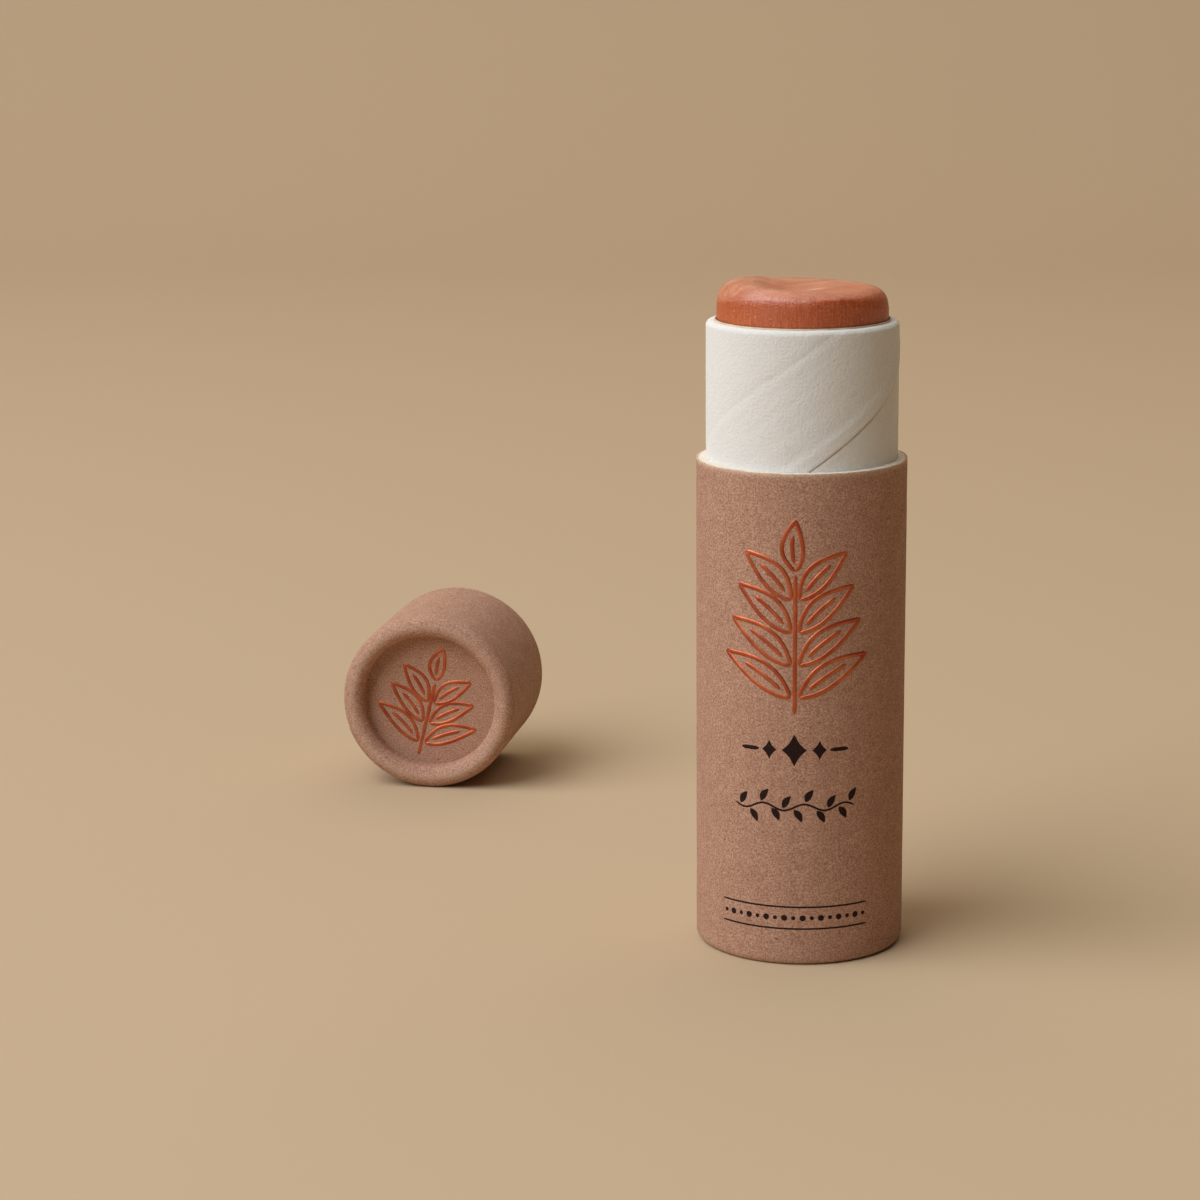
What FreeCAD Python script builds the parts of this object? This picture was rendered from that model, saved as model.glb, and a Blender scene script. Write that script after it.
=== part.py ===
"""Push-up lip balm in a paper tube: wrapped outer tube, spiral neck, push-up cup with balm, and loose cap.

Millimetres, +Z up. The origin is the centre of the foot that the tube stands on, and its front faces -Y.
The cap lies on its side behind the tube, as it does when the balm is in use.
"""
import FreeCAD, Part
import math
import os

import Sketcher

DIMENSIONS = {
    # outer tube: kraft wrap over a board tube whose foot is turned in
    "outer_diameter": 20.5,
    "body_height": 48.6,
    "wrap_thickness": 0.15,
    "board_thickness": 0.9,
    "glue_film": 0.02,
    "foot_bend": 0.58,
    "foot_lip": 0.85,
    # neck: two board plies and a greaseproof liner, and the white facing round the part that shows
    "neck_exposed": 13.5,
    "facing_thickness": 0.15,
    "ply_thickness": 0.31,
    "liner_thickness": 0.08,
    "lip_rounding": 0.5,
    # push-up cup with its disc, and the balm that stands on it
    "slide_gap": 0.12,
    "push_height": 4.5,
    "push_card": 0.4,
    "push_edge_rounding": 0.25,
    "push_curl": 1.1,
    "push_disc_thickness": 1.2,
    "fit_gap": 0.05,
    "grease_paper": 0.1,
    "balm_length": 48.7,
    "balm_proud": 3.4,
    "balm_edge_rounding": 1.2,
    "dip_diameter": 11.0,
    "dip_depth": 0.5,
    # cap: the same wrapped board, rolled in round a recessed end
    "cap_gap": 0.05,
    "cap_seat_gap": 0.3,
    "cap_board": 0.9,
    "cap_facing": 0.15,
    "cap_recess": 2.3,
    "cap_shoulder": 0.2,
    "curl_gap": 1.06,
    "cap_end_x": -43.5,
    "cap_end_y": 51.6,
    "cap_turn": 6.74,
}

doc = FreeCAD.newDocument("lip_balm")
dims = doc.addObject("Spreadsheet::Sheet", "dims")
for row, (alias, value) in enumerate(DIMENSIONS.items(), start=1):
    dims.set(f"A{row}", alias)
    dims.set(f"B{row}", str(value))
    dims.setAlias(f"B{row}", alias)
doc.recompute()

# radii of the tube's layers, from the outside in
OUTER_R = "(dims.outer_diameter / 2)"
WRAP_IN_R = f"({OUTER_R} - dims.wrap_thickness)"
BOARD_OUT_R = f"({WRAP_IN_R} - dims.glue_film)"
BOARD_IN_R = f"({BOARD_OUT_R} - dims.board_thickness)"
OUTER_PLY_R = f"({BOARD_IN_R} - dims.glue_film)"
FACING_IN_R = f"({OUTER_PLY_R} + dims.glue_film)"
NECK_R = f"({FACING_IN_R} + dims.facing_thickness)"
OUTER_PLY_IN_R = f"({OUTER_PLY_R} - dims.ply_thickness)"
INNER_PLY_R = f"({OUTER_PLY_IN_R} - dims.glue_film)"
INNER_PLY_IN_R = f"({INNER_PLY_R} - dims.ply_thickness)"
LINER_R = f"({INNER_PLY_IN_R} - dims.glue_film)"
BORE_R = f"({LINER_R} - dims.liner_thickness)"
FOOT_R = f"({BORE_R} - dims.foot_lip)"
PUSH_R = f"({BORE_R} - dims.slide_gap)"

# levels of the standing tube
GROUND = "0"
WRAP_TOP = "dims.wrap_thickness"
FOOT_FLOOR = f"({WRAP_TOP} + dims.glue_film)"
FOOT_TOP = f"({FOOT_FLOOR} + dims.board_thickness)"
NECK_FOOT = f"({FOOT_TOP} + dims.glue_film)"
BODY_TOP = "dims.body_height"
NECK_TOP = f"({BODY_TOP} + dims.neck_exposed)"

# levels of the push-up, measured from the lower edge of its cup
CUP_CEILING = "(dims.push_height - dims.push_card)"
DISC_TOP = f"({CUP_CEILING} - dims.glue_film)"
DISC_FOOT = f"({DISC_TOP} - dims.push_disc_thickness)"
PAPER_FOOT = "(dims.push_height + dims.glue_film)"
BALM_FOOT = f"({PAPER_FOOT} + dims.grease_paper)"
BALM_TOP = f"({BALM_FOOT} + dims.balm_length)"
PUSH_LEVEL = f"({NECK_TOP} + dims.balm_proud - {BALM_TOP})"

# radii and levels of the cap, measured from its mouth
CAP_BORE_R = f"({NECK_R} + dims.cap_gap)"
CAP_SEAT_R = f"({CAP_BORE_R} + dims.cap_shoulder)"
CAP_LINER_FOOT = "(dims.neck_exposed + dims.cap_seat_gap)"
CAP_LINER_TOP = f"({CAP_LINER_FOOT} + dims.grease_paper)"
CAP_BOARD_FOOT = f"({CAP_LINER_TOP} + dims.glue_film)"
CAP_BOARD_TOP = f"({CAP_BOARD_FOOT} + dims.cap_board)"
CAP_FACING_FOOT = f"({CAP_BOARD_TOP} + dims.glue_film)"
CAP_END = f"({CAP_FACING_FOOT} + dims.cap_facing)"
CAP_TOP = f"({CAP_END} + dims.cap_recess)"
CAP_PLUG_R = f"({CAP_SEAT_R} - dims.fit_gap)"
CURL_MIDDLE_R = f"({CAP_SEAT_R} - dims.curl_gap / 2)"


def number(expression):
    """Value of an expression over the sheet."""
    return float(dims.evalExpression(expression))


def near(a, b):
    """Whether two places or levels are the same."""
    return math.isclose(a, b, abs_tol=1e-7)


def toward(corner, neighbour, rounding):
    """Point on the edge from a corner to its neighbour where the corner's arc begins."""
    along_radius = near(number(corner[1]), number(neighbour[1]))
    axis = 0 if along_radius else 1
    sign = "+" if number(neighbour[axis]) > number(corner[axis]) else "-"
    point = [corner[0], corner[1]]
    point[axis] = f"({corner[axis]} {sign} {rounding})"
    return tuple(point)


def outline(corners):
    """Points of a closed outline of level and upright edges, each with the arc that leaves it, if any.

    A corner is (radius, height) or (radius, height, rounding). An arc is (rounding, corner).
    """
    points = []
    for index, corner in enumerate(corners):
        if len(corner) == 2:
            points.append((corner, None))
            continue
        rounding = corner[2]
        before = toward(corner, corners[index - 1], rounding)
        after = toward(corner, corners[(index + 1) % len(corners)], rounding)
        points.append((before, (rounding, corner)))
        points.append((after, None))
    return [point for index, point in enumerate(points) if point[1] or not meets_next(points, index)]


def meets_next(points, index):
    """Whether an arc's end is also where the next arc begins, so that no edge lies between them."""
    here = points[index][0]
    there = points[(index + 1) % len(points)][0]
    return near(number(here[0]), number(there[0])) and near(number(here[1]), number(there[1]))


def place(sketch, edge, end, point):
    """Hold one end of an edge at a radius and height given as expressions."""
    for kind, axis_line, expression in (("DistanceX", -2, point[0]), ("DistanceY", -1, point[1])):
        value = number(expression)
        if near(value, 0):
            sketch.addConstraint(Sketcher.Constraint("PointOnObject", edge, end, axis_line))
            continue
        held = sketch.addConstraint(Sketcher.Constraint(kind, -1, 1, edge, end, value))
        sketch.setExpression(f"Constraints[{held}]", expression)


def draw(sketch, corners):
    """Draw a closed outline with every point and arc bound to the sheet."""
    points = outline(corners)
    vectors = [FreeCAD.Vector(number(p[0]), number(p[1]), 0) for p, _ in points]
    ends = []
    for index, (_, arc) in enumerate(points):
        start = vectors[index]
        stop = vectors[(index + 1) % len(points)]
        if arc is None:
            edge = sketch.addGeometry(Part.LineSegment(start, stop))
            ends.append((edge, 1, 2))
            continue
        rounding, corner = arc
        centre = start + stop - FreeCAD.Vector(number(corner[0]), number(corner[1]), 0)
        left_turn = (start - centre).cross(stop - centre).z > 0
        first, last = (start, stop) if left_turn else (stop, start)
        angles = [math.atan2(v.y - centre.y, v.x - centre.x) for v in (first, last)]
        circle = Part.Circle(centre, FreeCAD.Vector(0, 0, 1), number(rounding))
        edge = sketch.addGeometry(Part.ArcOfCircle(circle, *angles))
        held = sketch.addConstraint(Sketcher.Constraint("Radius", edge, number(rounding)))
        sketch.setExpression(f"Constraints[{held}]", rounding)
        ends.append((edge, 1, 2) if left_turn else (edge, 2, 1))
    for index, (edge, start_end, _) in enumerate(ends):
        last_edge, _, last_end = ends[index - 1]
        sketch.addConstraint(Sketcher.Constraint("Coincident", last_edge, last_end, edge, start_end))
        place(sketch, edge, start_end, points[index][0])


def section(body, name, corners):
    """Sketch of a half section, in the body's own upright plane."""
    sketch = body.newObject("Sketcher::SketchObject", name)
    plane = next(p for p in body.Origin.OriginFeatures if p.Role == "XZ_Plane")
    sketch.AttachmentSupport = (plane, [""])
    sketch.MapMode = "FlatFace"
    draw(sketch, corners)
    return sketch


def turned(name, corners):
    """A round piece: its half section turned about the upright axis."""
    body = doc.addObject("PartDesign::Body", name)
    body.Label = name
    sketch = section(body, f"{name}_section", corners)
    revolution = body.newObject("PartDesign::Revolution", f"{name}_turn")
    revolution.Profile = sketch
    revolution.ReferenceAxis = (sketch, ["V_Axis"])
    doc.recompute()
    return body


def tube(name, inner_r, outer_r, foot, top):
    """A plain round layer."""
    return turned(name, [(inner_r, foot), (outer_r, foot), (outer_r, top), (inner_r, top)])


def disc(name, radius, foot, top):
    """A plain round sheet."""
    return turned(name, [("0", foot), (radius, foot), (radius, top), ("0", top)])


def round_neck_lip(body):
    """Take the neck's rounded outer top edge off one of its layers."""
    rounding = "dims.lip_rounding"
    inside = f"({NECK_R} - {rounding})"
    outside = f"({NECK_R} + {rounding})"
    below = f"({NECK_TOP} - {rounding})"
    above = f"({NECK_TOP} + {rounding})"
    corners = [(inside, above), (inside, NECK_TOP), (NECK_R, NECK_TOP, rounding), (NECK_R, below)]
    corners += [(outside, below), (outside, above)]
    sketch = section(body, f"{body.Name}_lip_section", corners)
    lip = body.newObject("PartDesign::Groove", f"{body.Name}_lip")
    lip.Profile = sketch
    lip.ReferenceAxis = (sketch, ["V_Axis"])
    doc.recompute()


def standing_tube():
    """Kraft wrap and board tube, both turned in under the neck at the foot."""
    wrap_bend = "(dims.foot_bend + dims.glue_film)"
    wrap_edge = f"({wrap_bend} + dims.wrap_thickness)"
    wrap = turned("outer_wrap", [
        (FOOT_R, GROUND),
        (OUTER_R, GROUND, wrap_edge),
        (OUTER_R, BODY_TOP),
        (WRAP_IN_R, BODY_TOP),
        (WRAP_IN_R, WRAP_TOP, wrap_bend),
        (FOOT_R, WRAP_TOP),
    ])
    board = turned("outer_tube", [
        (FOOT_R, FOOT_FLOOR),
        (BOARD_OUT_R, FOOT_FLOOR, "dims.foot_bend"),
        (BOARD_OUT_R, BODY_TOP),
        (BOARD_IN_R, BODY_TOP),
        (BOARD_IN_R, FOOT_TOP),
        (FOOT_R, FOOT_TOP),
    ])
    return [wrap, board]


def neck():
    """Inner tube standing on the turned-in foot, with a facing that starts at the outer tube's top edge."""
    facing = tube("neck_facing", FACING_IN_R, NECK_R, BODY_TOP, NECK_TOP)
    outer_ply = tube("neck_outer_ply", OUTER_PLY_IN_R, OUTER_PLY_R, NECK_FOOT, NECK_TOP)
    inner_ply = tube("neck_inner_ply", INNER_PLY_IN_R, INNER_PLY_R, NECK_FOOT, NECK_TOP)
    liner = tube("neck_liner", BORE_R, LINER_R, NECK_FOOT, NECK_TOP)
    for layer in (facing, outer_ply):
        round_neck_lip(layer)
    return [facing, outer_ply, inner_ply, liner]


def push_up():
    """Cup with a curled lower edge, the disc inside it, the paper on it and the balm."""
    card_r = f"({PUSH_R} - dims.push_card)"
    curl_r = f"({PUSH_R} - dims.push_curl)"
    curl = "(dims.push_curl / 2)"
    edge = "dims.push_edge_rounding"
    cup = turned("push_cup", [
        ("0", CUP_CEILING),
        (card_r, CUP_CEILING),
        (card_r, "dims.push_curl"),
        (curl_r, "dims.push_curl"),
        (curl_r, GROUND, curl),
        (PUSH_R, GROUND, curl),
        (PUSH_R, "dims.push_height", edge),
        ("0", "dims.push_height"),
    ])
    board = disc("push_disc", f"({card_r} - dims.fit_gap)", DISC_FOOT, DISC_TOP)
    paper = disc("push_liner", f"({PUSH_R} - {edge})", PAPER_FOOT, BALM_FOOT)
    balm = turned("balm", [
        ("0", BALM_FOOT),
        (PUSH_R, BALM_FOOT),
        (PUSH_R, BALM_TOP, "dims.balm_edge_rounding"),
        ("0", BALM_TOP),
    ])
    press_dip(balm)
    pieces = [cup, board, paper, balm]
    for piece in pieces:
        piece.setExpression("Placement.Base.z", PUSH_LEVEL)
    return pieces


def press_dip(balm):
    """Shallow dip in the balm's top, part of a ball."""
    ball_r = "((dims.dip_diameter ^ 2 / 4 + dims.dip_depth ^ 2) / (2 * dims.dip_depth))"
    dip = balm.newObject("PartDesign::SubtractiveSphere", "balm_dip")
    dip.setExpression("Radius", ball_r)
    dip.setExpression("Placement.Base.z", f"{BALM_TOP} - dims.dip_depth + {ball_r}")
    doc.recompute()


def rolled(name, outer_r, inner_r, top, mouth):
    """A wall of the cap that rolls in over the rim and ends on the cap's recessed end.

    mouth lists the corners from the roll down the inside of the wall to the cap's mouth.
    """
    leg_r = f"(2 * {CURL_MIDDLE_R} - {outer_r})"
    leg_in_r = f"(2 * {CURL_MIDDLE_R} - {inner_r})"
    bend = f"({outer_r} - {CURL_MIDDLE_R})"
    inner_bend = f"({inner_r} - {CURL_MIDDLE_R})"
    under = f"({top} - ({outer_r} - {inner_r}))"
    return turned(name, [
        (outer_r, GROUND),
        (outer_r, top, bend),
        (leg_r, top, bend),
        (leg_r, CAP_END),
        (leg_in_r, CAP_END),
        (leg_in_r, under, inner_bend),
        (inner_r, under, inner_bend),
    ] + mouth)


def cap():
    """Rolled-rim cap with a recessed end of three sheets, lying on its side."""
    wrap = rolled("cap_wrap", OUTER_R, WRAP_IN_R, CAP_TOP, [(WRAP_IN_R, GROUND)])
    board_top = f"({CAP_TOP} - dims.wrap_thickness - dims.glue_film)"
    shoulder = [(CAP_SEAT_R, CAP_LINER_FOOT), (CAP_BORE_R, CAP_LINER_FOOT), (CAP_BORE_R, GROUND)]
    board = rolled("cap_tube", BOARD_OUT_R, CAP_SEAT_R, board_top, shoulder)
    skirt_top = f"({CAP_TOP} - ({OUTER_R} - {CURL_MIDDLE_R}))"
    skirt_in_r = f"({CAP_PLUG_R} - dims.cap_facing)"
    facing = turned("cap_end_facing", [
        ("0", CAP_FACING_FOOT),
        (CAP_PLUG_R, CAP_FACING_FOOT),
        (CAP_PLUG_R, skirt_top),
        (skirt_in_r, skirt_top),
        (skirt_in_r, CAP_END),
        ("0", CAP_END),
    ])
    end_board = disc("cap_end_board", CAP_PLUG_R, CAP_BOARD_FOOT, CAP_BOARD_TOP)
    end_liner = disc("cap_end_liner", CAP_PLUG_R, CAP_LINER_FOOT, CAP_LINER_TOP)
    pieces = [wrap, board, facing, end_board, end_liner]
    for piece in pieces:
        piece.Placement = lying_cap()
    return pieces


def lying_cap():
    """Where the cap lies: its end faces the front, and its side rests on the ground."""
    upright = FreeCAD.Vector(0, 0, 1)
    tipped = FreeCAD.Rotation(FreeCAD.Vector(1, 0, 0), 90)
    turn = FreeCAD.Rotation(upright, -dims.cap_turn) * tipped
    end = FreeCAD.Vector(dims.cap_end_x, dims.cap_end_y, number(OUTER_R))
    return FreeCAD.Placement(end - turn.multVec(upright) * number(CAP_TOP), turn)


pieces = standing_tube() + neck() + push_up() + cap()
doc.recompute()

for item in doc.Objects:
    if "Invalid" in item.State or "Error" in item.State:
        raise RuntimeError(f"{item.Name} failed: {item.State}")
for piece in pieces:
    if piece.Shape.isNull() or not piece.Shape.isValid():
        raise RuntimeError(f"{piece.Label} has no valid shape")

os.makedirs("parts", exist_ok=True)
for piece in pieces:
    piece.Shape.exportStep(f"parts/{piece.Label}.step")
    print(f"{piece.Label}: {piece.Shape.Volume:.1f} mm3, {len(piece.Shape.Solids)} solid")
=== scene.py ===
"""Lip balm in a paper push-up tube: its looks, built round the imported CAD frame."""

import math

import bpy
import numpy as np
from mathutils import Matrix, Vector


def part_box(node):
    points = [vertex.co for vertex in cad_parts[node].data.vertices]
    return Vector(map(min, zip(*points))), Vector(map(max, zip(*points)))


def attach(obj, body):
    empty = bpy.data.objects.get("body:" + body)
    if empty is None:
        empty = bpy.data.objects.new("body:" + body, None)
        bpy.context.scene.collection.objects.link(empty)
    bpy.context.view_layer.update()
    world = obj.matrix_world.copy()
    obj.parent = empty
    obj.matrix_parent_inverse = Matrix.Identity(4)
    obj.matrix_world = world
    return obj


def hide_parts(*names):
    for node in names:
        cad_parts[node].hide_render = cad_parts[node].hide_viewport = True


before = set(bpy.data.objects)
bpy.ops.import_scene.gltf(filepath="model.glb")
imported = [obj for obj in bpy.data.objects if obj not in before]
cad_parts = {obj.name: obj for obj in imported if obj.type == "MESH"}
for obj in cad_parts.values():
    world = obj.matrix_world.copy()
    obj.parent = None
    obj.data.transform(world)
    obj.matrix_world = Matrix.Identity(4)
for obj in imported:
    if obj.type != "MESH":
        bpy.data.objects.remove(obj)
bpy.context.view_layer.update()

# Sizes are in millimetres. Angles run round the axis: 0 faces the camera, and a quarter turn its right.
MM = 0.001
TURN = 2 * math.pi

OUTER_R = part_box("outer_wrap")[1].x / MM
BODY_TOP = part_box("outer_wrap")[1].z / MM
BOARD_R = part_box("outer_tube")[1].x / MM
BOARD_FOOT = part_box("outer_tube")[0].z / MM
NECK_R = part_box("neck_facing")[1].x / MM
NECK_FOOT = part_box("neck_facing")[0].z / MM
NECK_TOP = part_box("neck_facing")[1].z / MM
BALM_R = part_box("balm")[1].x / MM
BALM_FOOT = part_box("balm")[0].z / MM
WRAP = 0.15
FACING = 0.15
BOARD = 0.9
GLUE = 0.02
FOOT_R = 7.57
FOOT_BEND = 0.75
LIP = 0.5

# The cap's own frame: Z runs from its mouth to its closed end.
CAP_LENGTH = 17.29
CAP_END = 14.99
CURL_R = 9.05
CAP_BORE_R = 9.38
CAP_SEAT_R = 9.58
CAP_SHOULDER = 13.8
CAP_PLUG_R = 9.53
CAP_TURN = math.radians(6.74)
CAP_END_PLACE = (-43.5, 51.6, 10.25)

# A height half way up, at which long hidden walls have a row of points.
HALF_WAY = 30.0

# The printed front, a little left of the camera's side, and the heights of its prints' middles.
LABEL_TURN = math.radians(-3.0)
FOIL_HEIGHT = 34.5
LOZENGE_HEIGHT = 21.7
VINE_HEIGHT = 16.0
BAND_HEIGHT = 4.85
FOIL_HALF = 0.205
FOIL_RISE = 0.07
INK_RISE = 0.012
KEEL = -0.06
WRAP_SEED = 11


# Numbers for shapes


def lattice_noise(across, along, cells, seed):
    """Smooth random values from -1 to 1 that close on themselves after that many cells across."""
    rows = 97
    table = np.random.RandomState(seed).uniform(-1.0, 1.0, (cells, rows))
    column = np.floor(across).astype(int)
    row = np.floor(along).astype(int)
    s = across - column
    t = along - row
    s = s * s * (3 - 2 * s)
    t = t * t * (3 - 2 * t)
    low = table[column % cells, row % rows] * (1 - s) + table[(column + 1) % cells, row % rows] * s
    next_row = (row + 1) % rows
    high = table[column % cells, next_row] * (1 - s) + table[(column + 1) % cells, next_row] * s
    return low * (1 - t) + high * t


def paper_relief(angle, height, seed):
    """How far hand-wound paper stands off its true cylinder, in millimetres."""
    turns = turn_share(angle)
    slow = lattice_noise(turns * 16, height / 4.1 + 40, 16, seed)
    quick = lattice_noise(turns * 80, height / 0.8 + 40, 80, seed + 1)
    return 0.010 * slow + 0.004 * quick


def smooth_step(low, high, value):
    """0 below low, 1 above high, and a soft rise between."""
    t = np.clip((value - low) / (high - low), 0.0, 1.0)
    return t * t * (3 - 2 * t)


def turn_share(angle):
    """Angles as shares of a whole turn, from 0 to 1."""
    return np.mod(angle / TURN, 1.0)


def signed(angle):
    """Angles brought to within half a turn of 0."""
    return np.mod(angle + math.pi, TURN) - math.pi


def arc(middle_r, middle_z, radius, start, end, steps):
    """Profile points (r, z) on an arc. Angles are in degrees: 0 points outwards and 90 up."""
    turn = np.radians(np.linspace(start, end, steps))
    return list(zip(middle_r + radius * np.cos(turn), middle_z + radius * np.sin(turn)))


def spaced(start, end, step):
    """Values from start to end about a step apart, both ends included."""
    count = max(2, int(round(abs(end - start) / step)) + 1)
    return np.linspace(start, end, count)


def wall(radius, low, high, step):
    """Profile points on a straight wall, without its two ends."""
    return [(radius, z) for z in spaced(low, high, step)[1:-1]]


# Pieces


def new_piece(name, points, faces, material, body, place=None):
    """A smooth-shaded mesh, given in millimetres, that rides on a CAD body."""
    mesh = bpy.data.meshes.new(name)
    mesh.from_pydata((np.asarray(points) * MM).tolist(), [], faces)
    mesh.polygons.foreach_set("use_smooth", [True] * len(mesh.polygons))
    mesh.set_sharp_from_angle(angle=math.radians(50))
    mesh.materials.append(material)
    piece = bpy.data.objects.new(name, mesh)
    bpy.context.scene.collection.objects.link(piece)
    if place is not None:
        piece.matrix_world = place
    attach(piece, body)
    return piece


def placed(x_way, y_way, z_way, at):
    """The matrix of an object whose axes point those ways."""
    rows = [[x_way[i], y_way[i], z_way[i], at[i]] for i in range(3)]
    return Matrix(rows + [[0.0, 0.0, 0.0, 1.0]])


def mark(piece, name, values):
    """Stores one number per vertex for the piece's material to read."""
    attribute = piece.data.attributes.new(name, "FLOAT", "POINT")
    attribute.data.foreach_set("value", np.asarray(values, np.float32).ravel())


def ring_points(radius, height, angle):
    """Vertices of a swept profile from arrays indexed [profile point, column]."""
    x = radius * np.sin(angle)
    y = -radius * np.cos(angle)
    return np.stack([x, y, height], axis=-1).reshape(-1, 3)


def ring_faces(rows, columns, closed):
    """Quads between the rows and columns of a swept profile. Columns always close on themselves."""
    index = np.arange(rows * columns).reshape(rows, columns)
    beside = np.roll(index, -1, axis=1)
    above = np.roll(index, -1, axis=0)
    across = np.roll(beside, -1, axis=0)
    quads = np.stack([index, beside, across, above], axis=-1)
    if not closed:
        quads = quads[:-1]
    return quads.reshape(-1, 4).tolist()


def swept(profile, columns):
    """Arrays radius, height and angle, indexed [profile point, column], of a profile swept round Z."""
    profile = np.array(profile, float)
    angle = np.broadcast_to(np.asarray(columns, float), (len(profile), len(columns))).copy()
    radius = np.repeat(profile[:, :1], len(columns), axis=1)
    height = np.repeat(profile[:, 1:], len(columns), axis=1)
    return radius, height, angle


def ring_piece(name, radius, height, angle, material, body, place=None):
    """A piece made of a closed profile that is swept round Z."""
    points = ring_points(radius, height, angle)
    faces = ring_faces(*radius.shape, True)
    return new_piece(name, points, faces, material, body, place)


def even_columns(count):
    """Angles of evenly spaced columns."""
    return np.arange(count) * TURN / count


def capped(points, faces, rows, columns, low, high):
    """Adds the two middle points of a profile that starts and ends on the axis."""
    foot = rows * columns
    top = foot + 1
    points = np.vstack([points, [[0.0, 0.0, low], [0.0, 0.0, high]]])
    last = (rows - 1) * columns
    for i in range(columns):
        j = (i + 1) % columns
        faces.append((foot, j, i))
        faces.append((top, last + i, last + j))
    return points, faces


# Line work of the print, in the flat: u runs right and v up


def leaf_strokes(base, lean, length, width):
    """The two sides and the middle vein of one leaf."""
    t = np.linspace(0.0, 1.0, 34)
    along = length * t
    swell = width * np.sin(math.pi * t**0.82)
    bend = 0.06 * length * np.sin(math.pi * t)
    c = math.cos(lean)
    s = math.sin(lean)
    strokes = []
    for across in (swell + bend, bend - swell):
        strokes.append(np.stack([base[0] + c * along - s * across, base[1] + s * along + c * across], 1))
    vein = slice(5, 24)
    strokes.append(np.stack([base[0] + c * along - s * bend, base[1] + s * along + c * bend], 1)[vein])
    return strokes


def mirrored(strokes):
    """The same strokes on the other side of the middle line."""
    return [stroke * np.array([-1.0, 1.0]) for stroke in strokes]


def sprig(foot, top, pairs, length, width):
    """An upright twig with pairs of leaves and one leaf at its tip."""
    strokes = [np.stack([np.zeros(60), np.linspace(foot, top, 60)], 1)]
    for k in range(pairs):
        share = k / max(1, pairs - 1)
        base = (0.42, foot + 1.6 + (top - foot - 4.0) * share)
        side = leaf_strokes(base, math.radians(30 + 14 * share), length * (1 - 0.2 * share), width)
        strokes += side + mirrored(side)
    strokes += leaf_strokes((0.0, top + 0.35), math.radians(90), 0.62 * length, 0.9 * width)
    return strokes


def stroke_width(stroke):
    """Share of its full width that a stroke has at each of its points: it is fine at its ends."""
    run = np.concatenate([[0.0], np.cumsum(np.linalg.norm(np.diff(stroke, axis=0), axis=1))])
    from_end = np.minimum(run, run[-1] - run)
    return np.clip(0.35 + 1.8 * from_end, 0.35, 1.0)


# Section of a raised stroke: shares of its half width and of its rise.
BEAD = ((1.0, 0.0), (0.82, 0.57), (0.46, 0.89), (0.0, 1.0), (-0.46, 0.89), (-0.82, 0.57), (-1.0, 0.0))


def stroke_solid(stroke, half, rise, place):
    """A closed bead along a stroke, rounded on top. place turns flat points and lifts into points."""
    ahead = np.vstack([stroke[1:], stroke[-1:]])
    behind = np.vstack([stroke[:1], stroke[:-1]])
    way = ahead - behind
    way = way / np.linalg.norm(way, axis=1, keepdims=True)
    width = stroke_width(stroke)
    side = np.stack([-way[:, 1], way[:, 0]], 1) * width[:, None] * half
    rows = [place(stroke + side * across, width * rise * up) for across, up in BEAD]
    rows.append(place(stroke, np.full(len(stroke), KEEL)))
    section = len(rows)
    points = np.stack(rows, 1).reshape(-1, 3)
    faces = []
    for i in range(len(stroke) - 1):
        a = section * i
        b = a + section
        for k in range(section):
            n = (k + 1) % section
            faces.append((a + k, a + n, b + n, b + k))
    last = section * (len(stroke) - 1)
    faces.append(tuple(reversed(range(section))))
    faces.append(tuple(range(last, last + section)))
    return points, faces


def blot_solid(outline, place):
    """A thin closed film that fills an outline seen whole from its middle."""
    outline = np.asarray(outline, float)
    middle = outline.mean(axis=0)
    count = len(outline)
    shares = (1.0, 0.66, 0.33)
    rows = []
    for share in shares:
        ring = middle + (outline - middle) * share
        rows.append(place(ring, np.full(count, INK_RISE)))
    rows.append(place(outline, np.full(count, KEEL)))
    centre_top = place(middle[None, :], np.full(1, INK_RISE))
    centre_low = place(middle[None, :], np.full(1, KEEL))
    points = np.vstack(rows + [centre_top, centre_low])
    faces = []
    top = 4 * count
    low = top + 1
    for i in range(count):
        j = (i + 1) % count
        for level in range(2):
            outer = level * count
            inner = outer + count
            faces.append((outer + i, outer + j, inner + j, inner + i))
        faces.append((2 * count + i, 2 * count + j, top))
        faces.append((3 * count + j, 3 * count + i, low))
        faces.append((3 * count + i, 3 * count + j, j, i))
    return points, faces


def joined(solids):
    """Several solids as one list of points and one of faces."""
    points = []
    faces = []
    start = 0
    for solid_points, solid_faces in solids:
        points.append(solid_points)
        faces += [tuple(start + i for i in face) for face in solid_faces]
        start += len(solid_points)
    return np.vstack(points), faces


def finer(stroke, step):
    """A stroke with points about a step apart."""
    run = np.concatenate([[0.0], np.cumsum(np.linalg.norm(np.diff(stroke, axis=0), axis=1))])
    at = spaced(0.0, run[-1], step)
    return np.stack([np.interp(at, run, stroke[:, 0]), np.interp(at, run, stroke[:, 1])], 1)


def foil_solid(strokes, step, place):
    """Strokes of raised foil as one list of points and one of faces."""
    return joined([stroke_solid(finer(stroke, step), FOIL_HALF, FOIL_RISE, place) for stroke in strokes])


# Materials


def add_node(tree, kind, settings=None, values=None):
    """A shader node. Each of its inputs is given a number, a colour or another node's output."""
    node = tree.nodes.new(kind)
    for key, value in (settings or {}).items():
        setattr(node, key, value)
    for key, value in (values or {}).items():
        if isinstance(value, bpy.types.NodeSocket):
            tree.links.new(value, node.inputs[key])
        else:
            node.inputs[key].default_value = value
    return node


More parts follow.
